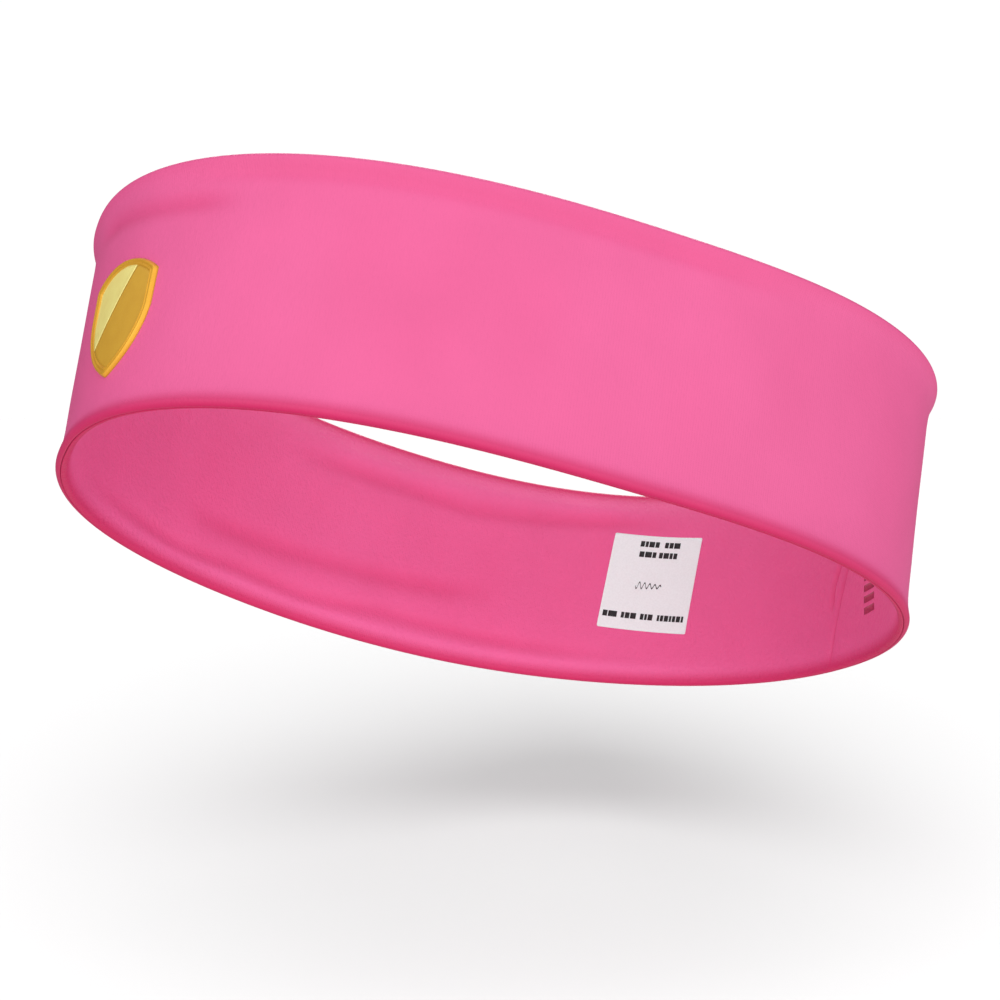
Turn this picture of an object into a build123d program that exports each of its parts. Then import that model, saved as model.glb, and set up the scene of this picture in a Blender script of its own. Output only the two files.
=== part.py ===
from build123d import *
import os
from math import atan, cos, exp, radians, sin, sqrt

# A stretch sports headband: a closed ring of soft knit, about 57 mm tall.
# Two panels, outer and inner, are sewn together along both edges and turned right side out,
# so each edge is a rolled rim with the seam allowances (hems) pressed flat inside it.
# The ends of the strip meet in one upright closing seam at the back of the head.
# A shield-shaped transfer emblem sits on the forehead side, and a printed label inside.
#
# Frame: +Z up along the wearer's head, forehead toward -Y, closing seam toward +Y.
# A bearing is measured round the ring from +X, so the forehead is -90 and the seam +90 degrees.
# The origin is below the middle of the ring, level with the lowest points of the bottom rim.

# ---- driving dimensions, in millimetres and degrees ----
WALL_HEIGHT = 54.7          # between the centres of the two rims
RIM_RADIUS = 1.3            # rolled edge, so the wall is twice this thick there
HALF_WALL = 1.9             # half the wall's thickness away from the rims
RIM_BLEND = 9.0             # height over which a rim widens to the full wall
PLY = 0.85                  # one layer of knit
HEM = 6.5                   # seam allowance turned in at each edge
SEAM_GAP = 0.05             # half the space between the two panels along their seams

BOTTOM_LENGTH = 195.0       # front to back, along the middle of the wall
BOTTOM_WIDTH = 142.0
TOP_LENGTH = 197.5
TOP_WIDTH = 146.0
TOP_FORWARD = 2.7           # the top rim leans toward the forehead by this much
BOTTOM_BACK_WIDER = 0.028   # share by which the ring is wider behind than in front
TOP_BACK_WIDER = 0.100
BOTTOM_SQUARENESS = (2.32, 2.11)   # exponents of the oval, in front and behind (2 is an ellipse)
TOP_SQUARENESS = (2.25, 2.40)

BOTTOM_FLARE = 1.25         # how far each rim curls out of the wall
TOP_FLARE = 2.1
FLARE_LENGTH = 4.0          # height over which that curl dies away
BOTTOM_BOW = 1.8            # the rims rise by this in front and behind, and dip as much at the sides
TOP_BOW = 1.5
TOP_TILT_X = -0.030         # slope of the top rim, right side higher
TOP_TILT_Y = 0.016          # slope of the top rim, back higher

SEAM_ANGLE = 90.0
END_GAP = 0.03              # degrees between the seam and each end of the strip
CLOSING_ALLOWANCE = 3.5     # degrees of strip turned in beside the closing seam, about 6 mm
THREAD_RADIUS = 0.20
THREAD_CHANNEL = 0.32       # half the width of the channel that a thread lies in
LAP = 0.1                   # overlap that joins a turned-in end to its panel
STATIONS = 40               # cross-sections round the ring
NEAR_RIM_HEIGHTS = (0, 2, 4.5, 8, 14)   # where the wall's face is drawn from, up from a rim
HAIR = 0.04                 # space between a transfer and the knit, or its own lower layer
FILM_REACH = 18.0           # a transfer is cut from a piece of film that reaches this far each way
FILM_REACH_DEGREES = 11.0

GAP_STITCH_ANGLE = 92.3     # where the stitches that close the turning gap start, at the bottom
GAP_STITCH_LEAN = -0.22     # degrees that they lean round the ring for each millimetre up
GAP_STITCH_LOW = 1.5
GAP_STITCH_HIGH = 27.0

EMBLEM_ANGLE = -76.3
EMBLEM_MIDDLE = 22.0        # height of its middle above the bottom rim's centre
EMBLEM_WIDTH = 22.0
EMBLEM_HEIGHT = 27.0
EMBLEM_ARCH = 4.2           # rise of its top edge
EMBLEM_SHOULDER = 0.1       # its sides are straight down to this share of the height of its corners
EMBLEM_BULGE = (0.80, 0.45) # a point on its curved sides, as shares of its width and height there
SPLIT_LEAN = 35.0           # degrees that the line between the field's two facets leans
SPLIT_ACROSS = -2.6         # where that line crosses the emblem's middle height
EMBLEM_BORDER = 1.9
BACKING_THICKNESS = 0.25
BORDER_THICKNESS = 0.55
FIELD_THICKNESS = 0.30
RIDGE = 0.12                # half the space between the two facets of the field

LABEL_ANGLE = 127.5
LABEL_MIDDLE = 27.6
LABEL_WIDTH = 26.3
LABEL_HEIGHT = 28.7
LABEL_CORNER = 0.4
LABEL_TURN = -3.3           # degrees that the label and its print are turned on the wall
LABEL_THICKNESS = 0.15
PRINT_THICKNESS = 0.08
# Each printed bar: middle across the label, middle up the label, length, height.
LABEL_BARS = (
    (-2.2, 11.7, 5.6, 1.7),
    (4.6, 11.7, 4.6, 1.7),
    (-2.3, 8.5, 5.0, 1.7),
    (3.8, 8.5, 5.4, 1.7),
    (-0.3, -1.0, 7.6, 0.7),
    (-10.0, -10.2, 4.2, 1.7),
    (-4.4, -10.2, 4.4, 1.7),
    (0.9, -10.2, 3.6, 1.7),
    (8.0, -10.2, 7.8, 1.7),
)
SIZE_MARK_ANGLE = 80.4
SIZE_MARK_MIDDLE = 14.2
SIZE_MARK_BARS = 4
SIZE_MARK_PITCH = 2.9
SIZE_MARK_BAR = (5.6, 1.7)  # length and height of one bar

# The ring's furthest points in front and behind, from the axis that the ovals are drawn about.
FRONT_REACH = TOP_LENGTH / 2 + TOP_FORWARD + TOP_FLARE + RIM_RADIUS
BACK_REACH = BOTTOM_LENGTH / 2 + BOTTOM_FLARE + RIM_RADIUS


# ---- the shape of the wall ----
def oval_radius(angle, length, width, back_wider, squareness):
    """Distance from the axis to an oval that is wider and rounder behind than in front."""
    behind = 0.5 * (1 + sin(angle))
    power = squareness[0] * (1 - behind) + squareness[1] * behind
    across = width / 2 * (1 + back_wider * sin(angle))
    along = length / 2
    return (abs(cos(angle) / across) ** power + abs(sin(angle) / along) ** power) ** (-1 / power)


def ring_radius(angle, share):
    """Radius of the middle of the wall, where share runs from 0 at the bottom to 1 at the top."""
    bottom = oval_radius(angle, BOTTOM_LENGTH, BOTTOM_WIDTH, BOTTOM_BACK_WIDER, BOTTOM_SQUARENESS)
    top = oval_radius(angle, TOP_LENGTH, TOP_WIDTH, TOP_BACK_WIDER, TOP_SQUARENESS)
    top -= TOP_FORWARD * sin(angle)
    return bottom * (1 - share) + top * share


def slope(angle):
    """Change of radius per radius turned: 0 where the wall is square to the radius."""
    step = 0.001
    change = ring_radius(angle + step, 0.5) - ring_radius(angle - step, 0.5)
    return change / (2 * step) / ring_radius(angle, 0.5)


def half_wall(height):
    """Half the wall's thickness, thinner toward each rim."""
    near = min(height, WALL_HEIGHT - height)
    return HALF_WALL + (RIM_RADIUS - HALF_WALL) * exp(-((near / RIM_BLEND) ** 2))


def flare(height):
    """How far the middle of the wall curls outward near each rim."""
    above = min(max(height, 0.0), WALL_HEIGHT)
    at_bottom = BOTTOM_FLARE * exp(-above / FLARE_LENGTH)
    at_top = TOP_FLARE * exp(-(WALL_HEIGHT - above) / FLARE_LENGTH)
    return at_bottom + at_top


def wall_point(bearing, offset, height):
    """The point at a bearing, a distance out from the middle of the wall, and a height up it."""
    angle = radians(bearing)
    share = min(max(height / WALL_HEIGHT, 0.0), 1.0)
    distance = (offset + flare(height)) * sqrt(1 + slope(angle) ** 2)
    radius = ring_radius(angle, share) + distance
    x = radius * cos(angle)
    y = radius * sin(angle)
    top_rise = TOP_TILT_X * x + TOP_TILT_Y * y - TOP_BOW * cos(2 * angle)
    bottom_rise = -BOTTOM_BOW * cos(2 * angle)
    z = height + share * top_rise + (1 - share) * bottom_rise
    return Vector(x, y + (FRONT_REACH - BACK_REACH) / 2, z + RIM_RADIUS + BOTTOM_BOW)


def spread(first, last, count):
    """Evenly spaced numbers from first to last."""
    return [first + (last - first) * i / (count - 1) for i in range(count)]


def ring_bearings():
    """The bearings of the cross-sections, once round from the closing seam to itself."""
    return spread(SEAM_ANGLE + END_GAP, SEAM_ANGLE + 360 - END_GAP, STATIONS + 1)


def face_heights():
    """Heights up the wall's face, closer together near the rims, where it curls."""
    near_top = [WALL_HEIGHT - h for h in reversed(NEAR_RIM_HEIGHTS)]
    return [*NEAR_RIM_HEIGHTS, WALL_HEIGHT / 2, *near_top]


def smooth(at, offset, heights):
    """A smooth upright line through the given heights; offset gives its distance at each."""
    points = [at(offset(h), h) for h in heights]
    steps = [abs(h - heights[0]) for h in heights]
    return Edge.make_spline(points, parameters=steps)


def ply_inner(height):
    """Distance from the middle of the wall to the hidden face of a panel's ply."""
    return half_wall(height) - PLY


def seam_plane(height):
    """Distance from the middle of the wall to the faces that two panels press together."""
    return SEAM_GAP


# ---- the two panels ----
def rolled_edge(at, middle, outward):
    """The quarter circle of a rim, between the seam and the panel's face."""
    slant = RIM_RADIUS * sqrt(0.5)
    seam = at(SEAM_GAP, middle + outward * RIM_RADIUS)
    between = at(slant, middle + outward * slant)
    face = at(RIM_RADIUS, middle)
    start, end = (face, seam) if outward > 0 else (seam, face)
    return ThreePointArc(start, between, end)


def hem_outline(at, middle, inward):
    """The hem's hidden faces, from the rim past the thread channel to the ply's inner face."""
    channel_start = middle - inward * THREAD_CHANNEL
    channel_end = middle + inward * THREAD_CHANNEL
    hem_end = middle + inward * HEM
    corners = [
        at(SEAM_GAP, middle - inward * RIM_RADIUS),
        at(SEAM_GAP, channel_start),
        at(THREAD_CHANNEL, channel_start),
        at(THREAD_CHANNEL, channel_end),
        at(SEAM_GAP, channel_end),
    ]
    pressed = smooth(at, seam_plane, spread(channel_end, hem_end, 4))
    step = Line(at(SEAM_GAP, hem_end), at(ply_inner(hem_end), hem_end))
    return [Line(a, b) for a, b in zip(corners, corners[1:])] + [pressed, step]


def panel_section(bearing, side):
    """A panel's cross-section in the upright plane at a bearing; side is 1 outer, -1 inner."""
    def at(offset, height):
        return wall_point(bearing, side * offset, height)

    edges = [
        rolled_edge(at, 0, -1),
        smooth(at, half_wall, face_heights()),
        rolled_edge(at, WALL_HEIGHT, 1),
        *hem_outline(at, WALL_HEIGHT, -1),
        smooth(at, ply_inner, spread(WALL_HEIGHT - HEM, HEM, 6)),
        *hem_outline(at, 0, 1),
    ]
    return Wire(edges)


def layer(side, bearings, heights, low, high):
    """A thin curved solid between two distances from the middle of the wall."""
    sections = []
    for bearing in bearings:
        def at(offset, height):
            return wall_point(bearing, side * offset, height)

        one = smooth(at, low, heights)
        other = smooth(at, high, heights)
        ends = [Line(one @ 0, other @ 0), Line(one @ 1, other @ 1)]
        sections.append(Wire([one, other, *ends]))
    return Solid.make_loft(sections)


def closing_allowance(side, turn):
    """The end of a panel's strip, turned in and lying flat against the panel's hidden face."""
    def under(height):
        return THREAD_CHANNEL

    def over(height):
        return ply_inner(height) + LAP

    bearings = spread(SEAM_ANGLE + turn * END_GAP, SEAM_ANGLE + turn * CLOSING_ALLOWANCE, 4)
    heights = spread(HEM + LAP, WALL_HEIGHT - HEM - LAP, 6)
    return layer(side, bearings, heights, under, over)


def panel(side):
    """One panel, from one end of its strip to the other, with all its turned-in allowances."""
    strip = Solid.make_loft([panel_section(bearing, side) for bearing in ring_bearings()])
    return strip + closing_allowance(side, 1) + closing_allowance(side, -1)


# ---- threads ----
def ring_thread_section(bearing, height):
    """An edge thread's round section, in the upright plane at a bearing."""
    above = wall_point(bearing, 0, height + THREAD_RADIUS)
    below = wall_point(bearing, 0, height - THREAD_RADIUS)
    outside = wall_point(bearing, THREAD_RADIUS, height)
    inside = wall_point(bearing, -THREAD_RADIUS, height)
    return Wire([ThreePointArc(above, outside, below), ThreePointArc(below, inside, above)])


def edge_thread(height):
    """The thread that joins the panels along one edge, laid round in its channel."""
    return Solid.make_loft([ring_thread_section(b, height) for b in ring_bearings()])


def upright_thread(middles):
    """A thread that runs up through the given points."""
    circles = [Plane(middle) * Circle(THREAD_RADIUS) for middle in middles]
    return Solid.make_loft([circle.wire() for circle in circles])


def closing_seam_thread():
    """The thread that joins the strip's ends, between the two panels' turned-in ends."""
    heights = spread(HEM + 1, WALL_HEIGHT - HEM - 1, 6)
    return upright_thread([wall_point(SEAM_ANGLE, 0, h) for h in heights])


def turning_gap_thread():
    """The thread on the inside that closes the gap through which the ring was turned."""
    middles = []
    for height in spread(GAP_STITCH_LOW, GAP_STITCH_HIGH, 6):
        bearing = GAP_STITCH_ANGLE + GAP_STITCH_LEAN * height
        middles.append(wall_point(bearing, -(half_wall(height) + THREAD_RADIUS + HAIR), height))
    return upright_thread(middles)


# ---- transfers: the emblem outside and the print inside ----
def slope_angle(bearing):
    """How far the wall's outward direction is turned from the radius, in radians."""
    return -atan(slope(radians(bearing)))


def transfer_plane(side, bearing, height):
    """The flat plane that a transfer's outline is drawn on, facing out of its side of the wall."""
    middle = wall_point(bearing, side * half_wall(height), height)
    turn = radians(bearing) + slope_angle(bearing)
    along = Vector(-sin(turn), cos(turn), 0) * side
    return Plane(middle, x_dir=along, z_dir=Vector(cos(turn), sin(turn), 0) * side)


def transfer(side, bearing, height, outline, lift, thickness):
    """A thin film of a given outline that follows the wall, lifted off its face."""
    def under(h):
        return half_wall(h) + lift

    def over(h):
        return half_wall(h) + lift + thickness

    bearings = spread(bearing - FILM_REACH_DEGREES, bearing + FILM_REACH_DEGREES, 7)
    lowest = max(height - FILM_REACH, 0.5)
    film = layer(side, bearings, spread(lowest, height + FILM_REACH, 9), under, over)
    drawn = transfer_plane(side, bearing, height) * outline
    return (extrude(drawn, amount=FILM_REACH, both=True) & film).solid()


def shield(inset):
    """A plain shield outline with an arched top edge, its sides drawn in by an inset."""
    half = EMBLEM_WIDTH / 2
    top = EMBLEM_HEIGHT / 2 - EMBLEM_ARCH
    bottom = -EMBLEM_HEIGHT / 2
    shoulder = top * EMBLEM_SHOULDER
    side_bulge = (half * EMBLEM_BULGE[0], (shoulder + bottom) * EMBLEM_BULGE[1])
    edges = [
        ThreePointArc((-half, top), (0, EMBLEM_HEIGHT / 2), (half, top)),
        Line((half, top), (half, shoulder)),
        ThreePointArc((half, shoulder), side_bulge, (0, bottom)),
        ThreePointArc((0, bottom), (-side_bulge[0], side_bulge[1]), (-half, shoulder)),
        Line((-half, shoulder), (-half, top)),
    ]
    face = make_face(edges)
    return offset(face, -inset, kind=Kind.INTERSECTION) if inset else face


def facet(hand):
    """One facet of the shield's field, to the right (1) or the left (-1) of the leaning ridge."""
    field = shield(EMBLEM_BORDER + RIDGE)
    ridge = Pos(SPLIT_ACROSS, 0) * Rot(0, 0, -SPLIT_LEAN)
    beside = Pos(hand * (EMBLEM_HEIGHT + RIDGE), 0)
    return field & ridge * beside * Rectangle(2 * EMBLEM_HEIGHT, 2 * EMBLEM_HEIGHT)


def emblem_pieces():
    """The emblem: a backing film, a raised border round its edge, and a field in two facets."""
    place = (1, EMBLEM_ANGLE, EMBLEM_MIDDLE)
    above = HAIR + BACKING_THICKNESS + HAIR
    border = shield(0) - shield(EMBLEM_BORDER)
    return {
        "emblem_backing": transfer(*place, shield(0), HAIR, BACKING_THICKNESS),
        "emblem_border": transfer(*place, border, above, BORDER_THICKNESS),
        "emblem_left_field": transfer(*place, facet(-1), above, FIELD_THICKNESS),
        "emblem_right_field": transfer(*place, facet(1), above, FIELD_THICKNESS),
    }


def printed_bar(bearing, height, bar, turn, lift):
    """One printed bar on the inside of the wall."""
    across, up, length, tall = bar
    outline = Rot(0, 0, turn) * Pos(across, up) * Rectangle(length, tall)
    return transfer(-1, bearing, height, outline, lift, PRINT_THICKNESS)


def size_mark_bars():
    """The size mark's bars, one above another."""
    length, tall = SIZE_MARK_BAR
    top = SIZE_MARK_PITCH * (SIZE_MARK_BARS - 1) / 2
    return [(0, up, length, tall) for up in spread(top, -top, SIZE_MARK_BARS)]


def label_pieces():
    """The label: a white film inside the wall with plain dark bars printed on it."""
    outline = Rot(0, 0, LABEL_TURN) * RectangleRounded(LABEL_WIDTH, LABEL_HEIGHT, LABEL_CORNER)
    pieces = {
        "label_film": transfer(-1, LABEL_ANGLE, LABEL_MIDDLE, outline, HAIR, LABEL_THICKNESS)
    }
    above = HAIR + LABEL_THICKNESS + HAIR
    for number, bar in enumerate(LABEL_BARS, 1):
        piece = printed_bar(LABEL_ANGLE, LABEL_MIDDLE, bar, LABEL_TURN, above)
        pieces[f"label_bar_{number}"] = piece
    for number, bar in enumerate(size_mark_bars(), 1):
        piece = printed_bar(SIZE_MARK_ANGLE, SIZE_MARK_MIDDLE, bar, 0, HAIR)
        pieces[f"size_mark_bar_{number}"] = piece
    return pieces


# ---- the whole headband ----
def headband():
    """Every piece of the headband, by name."""
    pieces = {
        "outer_panel": panel(1),
        "inner_panel": panel(-1),
        "top_edge_thread": edge_thread(WALL_HEIGHT),
        "bottom_edge_thread": edge_thread(0),
        "closing_seam_thread": closing_seam_thread(),
        "turning_gap_thread": turning_gap_thread(),
    }
    pieces.update(emblem_pieces())
    pieces.update(label_pieces())
    return pieces


os.makedirs("parts", exist_ok=True)
for name, piece in headband().items():
    piece.label = name
    export_step(piece, f"parts/{name}.step")
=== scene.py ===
import bpy
import numpy as np
from mathutils import Matrix, Vector


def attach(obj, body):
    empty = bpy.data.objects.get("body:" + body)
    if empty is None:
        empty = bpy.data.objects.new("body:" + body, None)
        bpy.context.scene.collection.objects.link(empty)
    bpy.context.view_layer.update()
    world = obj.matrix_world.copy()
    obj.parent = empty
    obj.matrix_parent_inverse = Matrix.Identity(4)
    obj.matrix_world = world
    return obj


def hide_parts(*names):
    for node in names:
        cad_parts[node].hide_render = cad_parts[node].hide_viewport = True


# A stretch sports headband: a closed ring of soft pink knit with rolled rims, a gold shield
# transfer on the forehead side, and a printed white label inside the back.
# Lengths are in millimetres until a mesh is made, and bearings in degrees from +X.
# Bearings run from the closing seam at 90, over the forehead at 270, back to the seam at 450.

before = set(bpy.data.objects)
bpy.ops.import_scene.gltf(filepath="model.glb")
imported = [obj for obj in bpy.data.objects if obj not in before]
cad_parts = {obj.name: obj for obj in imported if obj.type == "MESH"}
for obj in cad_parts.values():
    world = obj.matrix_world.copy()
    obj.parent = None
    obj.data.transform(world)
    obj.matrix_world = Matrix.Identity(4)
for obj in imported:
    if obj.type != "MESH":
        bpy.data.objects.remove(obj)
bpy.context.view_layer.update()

MM = 0.001

# ---- the wall, the same shape as the CAD model's ----
WALL_HEIGHT = 54.7
RIM_RADIUS = 1.3
HALF_WALL = 1.9
RIM_BLEND = 9.0
PLY = 0.85                  # one layer of knit
HEM = 6.5                   # seam allowance turned in at each edge
SEAM_GAP = 0.05             # half the space between the two panels along their seams
THREAD_CHANNEL = 0.33       # half the width of the channel that a hidden thread lies in
BOTTOM_OVAL = (195.0, 142.0, 0.028, (2.32, 2.11))   # length, width, wider behind, squareness
TOP_OVAL = (197.5, 146.0, 0.100, (2.25, 2.40))
TOP_FORWARD = 2.7
BOTTOM_FLARE = 1.25
TOP_FLARE = 2.1
FLARE_LENGTH = 4.0
BOTTOM_BOW = 1.8
TOP_BOW = 1.5
TOP_TILT_X = -0.030
TOP_TILT_Y = 0.016
FRONT_REACH = TOP_OVAL[0] / 2 + TOP_FORWARD + TOP_FLARE + RIM_RADIUS
BACK_REACH = BOTTOM_OVAL[0] / 2 + BOTTOM_FLARE + RIM_RADIUS
OUTSIDE = 1
INSIDE = -1

# ---- the knit's mesh ----
SEAM_BEARING = 90.0
COLUMN_WIDTH = 1.2
FINE_COLUMN_WIDTH = 0.3
FINE_REACH = 9.0            # the columns are fine this far each side of the closing seam
FACE_ROWS = 56
HIDDEN_ROWS = 16            # rows on a ply's hidden side, between its two hems
HEM_RUN = 2.0               # the first of those rows is this far past the end of a hem
RIM_ROWS = 7
RIM_DIP = ((0.24, 1.24), (0.12, 1.20), (0.0, 1.10))     # the rows by which a rim dips into its seam
RIM_SHADE = 3.6             # painted shade: the knit is painted deeper in colour this far from a rim's seam
OUTER_TOP_SHADE = 0.2       # the outer panel's top rim gets only this share of that painted rim shade
RIM_ROLL = 72               # degrees of the rim that are round, before it dips into its seam
WALES = 1000                # upright ribs of knit round the ring
COURSE = 0.45               # height of one row of knit
LOOP_SLANT = 1.1            # slant of a loop's two sides, in rows for each width of a rib
KNIT_BUMP = 0.06            # distances that the bumps' strengths of 1 stand for
PRINT_BUMP = 0.06
THREAD_BUMP = 0.03
FOIL_BUMP = 0.01

# Folds in the knit: side, how far it stands out, width, and where it runs (bearing, height).
FOLDS = (
    (OUTSIDE, -0.60, 1.8, ((283, 52.0), (310, 52.2), (340, 52.0), (365, 51.8), (390, 52.0))),
    (OUTSIDE, -0.85, 2.4, ((270, 49.5), (279, 48.0), (288, 46.5), (294, 46.0), (301, 45.0))),
    (INSIDE, -0.80, 2.2, ((120, 44.0), (134, 46.0), (146.5, 44.5), (166, 42.5), (178.5, 43.5),
                          (196.5, 43.5), (215, 42.0))),
    (INSIDE, 0.55, 2.4, ((120, 49.0), (146, 49.5), (180, 48.5), (215, 47.5))),
    (INSIDE, -0.80, 1.9, ((125, 5.8), (135, 6.0), (150.5, 6.5), (164.5, 7.0), (183, 7.5),
                          (201.5, 5.5), (216.5, 6.5), (228, 4.8), (241, 6.5), (258, 6.5))),
    (INSIDE, 0.60, 2.0, ((100, 3.0), (150, 3.0), (200, 2.8), (258, 3.0))),
    (INSIDE, -1.00, 2.8, ((154.5, 21.5), (160.5, 19.5), (169, 18.0), (184.5, 17.0), (193.5, 16.5),
                          (206.5, 15.5), (215, 15.0), (225, 14.5), (233, 18.5))),
    (INSIDE, -0.90, 0.7, ((87.0, 36.0), (89.0, 25.0), (90.5, 20.0), (91.0, 14.0), (91.6, 11.0))),
)
FOLD_FADE = 0.25            # a fold fades out over this share of its length at each end
# Waves of unevenness: strength, how many go round the ring, phase, and lean over the height.
WAVES = (
    (0.100, 5, 1.3, 2.0),
    (0.070, 8, 4.1, -3.1),
    (0.035, 19, 0.4, 5.0),
    (0.025, 31, 2.2, -4.0),
)
RELIEF_FADE = 3.0           # folds and unevenness grow to their full depth this far from a rim
SEAM_GROOVE = 0.60          # depth of the closing seam
SEAM_GROOVE_WIDTH = 0.35
SEAM_DIP = 0.22             # depth of the broad dip that the groove lies in
SEAM_DIP_WIDTH = 2.2
STITCH_BEARING = 92.3       # the inside seam's bearing at the bottom
STITCH_LEAN = -0.22         # degrees that it leans for each millimetre up
STITCH_UPRIGHT = 30.0       # it stands upright above this height
STITCH_LOW = 1.5
STITCH_HIGH = 27.0
STITCH_PITCH = 1.25
STITCH_RADIUS = 0.11
STITCH_SHARE = 0.72         # each stitch's length, as a share of the pitch
STITCH_ARCH = 0.16          # how far its middle stands above its ends
STITCH_SINK = 0.08          # how far its ends are sunk in the knit

# ---- the emblem, the label and the size mark ----
EMBLEM_PLACE = (OUTSIDE, -76.3, 22.0)
EMBLEM_WIDTH = 22.0
EMBLEM_HEIGHT = 27.0
EMBLEM_ARCH = 4.2
EMBLEM_SHOULDER = 0.1       # its sides are straight down to this share of the height of its corners
EMBLEM_BULGE = (0.80, 0.45) # a point on its curved sides, as shares of its width and height there
SPLIT_LEAN = 35.0           # degrees that the line between the emblem's two facets leans
SPLIT_ACROSS = -2.6         # where that line crosses the emblem's middle height
# The border's section, from its outer edge inward: distance in from the edge, and lift.
BORDER_SECTION = ((0.0, 0.10), (0.10, 0.45), (0.35, 0.78), (0.65, 0.84), (0.92, 0.62), (1.08, 0.56),
                  (1.25, 0.70), (1.48, 0.72), (1.72, 0.50), (1.95, 0.30), (1.95, 0.05), (0.0, 0.05))
FIELD_INSET = 1.7           # the facets begin this far inside the border's outer edge
RIDGE_GAP = 0.05            # half the space between the facets, along the ridge
FACET_EDGE = 0.28           # lift of each facet at its outer edge
FACET_RISE = 0.34           # how much higher it is at the ridge
FACET_BOTTOM = 0.08         # lift of the facets' undersides
FACET_COLUMNS = 26
EMBLEM_ROWS = 30
BACKING_SHOWS = 0.07        # width of the backing film that shows round the border
BACKING_LIFT = 0.09
BACKING_COLUMNS = 44
LABEL_PLACE = (INSIDE, 127.5, 27.6)
LABEL_WIDTH = 26.3
LABEL_HEIGHT = 28.7
LABEL_CORNER = 0.4
LABEL_BOTTOM = 0.02         # lift of the label film's underside
LABEL_LIFT = 0.20
LABEL_COLUMNS = 40
LABEL_ROWS = 46
LABEL_TURN = -3.3           # degrees that the label and its print are turned on the wall
INK = 0.05                  # thickness of the print
LABEL_INK_LIFT = 0.27
MARK_INK_LIFT = 0.06
BLOCK_GAP = 0.30            # space between the blocks of a printed bar
BLOCK_STEP = 0.8            # about the space between a block's columns
WAVE_LINE = 0.42            # width of the wavy line's stroke
WAVE_RADIANS = 31.0         # wave along the whole line
WAVE_SWING = 1.1            # its swing at its middle, as a share of its bar's height
WAVE_CALMS = 0.8            # share of that swing that it loses from one end to the other
SIZE_MARK_PLACE = (INSIDE, 80.4, 14.2)
# Each printed bar: middle across, middle up, length, height, and the blocks that it is made of.
LABEL_BARS = (
    (-2.2, 11.7, 5.6, 1.7, 4),
    (4.6, 11.7, 4.6, 1.7, 3),
    (-2.3, 8.5, 5.0, 1.7, 3),
    (3.8, 8.5, 5.4, 1.7, 4),
    (-0.3, -1.0, 7.6, 0.7, 0),
    (-10.0, -10.2, 4.2, 1.7, 2),
    (-4.4, -10.2, 4.4, 1.7, 3),
    (0.9, -10.2, 3.6, 1.7, 3),
    (8.0, -10.2, 7.8, 1.7, 7),
)
SIZE_MARK_BARS = (
    (0, 4.35, 5.6, 1.7),
    (0, 1.45, 5.6, 1.7),
    (0, -1.45, 5.6, 1.7),
    (0, -4.35, 5.6, 1.7),
)

# ---- the camera, and the floor that is level in its view ----
CAMERA_BEARING = 68.486
CAMERA_RISE = -21.512
CAMERA_ROLL = 8.193
CAMERA_DISTANCE = 331.568
CAMERA_LENS = 50.0
CAMERA_AIM = (-2.32, -7.884)    # right and up of the middle of the ring, in the picture
RING_MIDDLE = Vector((0, 2.4, 30.45))
FLOOR_DROP = 120.0
FLOOR_SLANT = 14.0              # degrees that the camera looks down on the floor
FLOOR_SIZE = 1400.0
BACKDROP = 1.02                 # brightness of the plain backdrop
LIGHT_DISTANCE = 900.0
SOFT_BOX_SIZE = 0.8             # metres
FLOOR_GREY = 0.147              # the floor's own lights, which bring it to white, outdo the rest
FLOOR_LIGHT_WIDTH = 64.0        # degrees
SHADOW_LIGHT = 13.4
FILL_LIGHT = 9.8                # lightens the shadow, and casts none
SHADOW_LEAN = 52.0              # degrees from upright in the picture toward the camera
SHADOW_ASIDE = -0.04            # and slightly to the picture's left


# ---- the shape of the wall ----
def oval_radius(angle, oval):
    """Distance from the axis to an oval that is wider and rounder behind than in front."""
    length, width, back_wider, squareness = oval
    behind = 0.5 * (1 + np.sin(angle))
    power = squareness[0] * (1 - behind) + squareness[1] * behind
    across = width / 2 * (1 + back_wider * np.sin(angle))
    along = length / 2
    total = np.abs(np.cos(angle) / across) ** power + np.abs(np.sin(angle) / along) ** power
    return total ** (-1 / power)


def ring_radius(angle, share):
    """Radius of the middle of the wall, where share runs from 0 at the bottom to 1 at the top."""
    bottom = oval_radius(angle, BOTTOM_OVAL)
    top = oval_radius(angle, TOP_OVAL) - TOP_FORWARD * np.sin(angle)
    return bottom * (1 - share) + top * share


def half_wall(height):
    """Half the wall's thickness, thinner toward each rim."""
    near = np.minimum(height, WALL_HEIGHT - height)
    return HALF_WALL + (RIM_RADIUS - HALF_WALL) * np.exp(-((near / RIM_BLEND) ** 2))


def wall_point(bearing, offset, height):
    """Points at bearings, distances out from the middle of the wall, and heights, in millimetres."""
    angle = np.radians(bearing)
    step = 0.001
    change = ring_radius(angle + step, 0.5) - ring_radius(angle - step, 0.5)
    slope = change / (2 * step) / ring_radius(angle, 0.5)
    above = np.clip(height, 0, WALL_HEIGHT)
    share = above / WALL_HEIGHT
    flare = BOTTOM_FLARE * np.exp(-above / FLARE_LENGTH)
    flare = flare + TOP_FLARE * np.exp(-(WALL_HEIGHT - above) / FLARE_LENGTH)
    radius = ring_radius(angle, share) + (offset + flare) * np.sqrt(1 + slope**2)
    x = radius * np.cos(angle)
    y = radius * np.sin(angle)
    top_rise = TOP_TILT_X * x + TOP_TILT_Y * y - TOP_BOW * np.cos(2 * angle)
    bottom_rise = -BOTTOM_BOW * np.cos(2 * angle)
    z = height + share * top_rise + (1 - share) * bottom_rise
    return np.stack([x, y + (FRONT_REACH - BACK_REACH) / 2, z + RIM_RADIUS + BOTTOM_BOW], -1)


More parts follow.
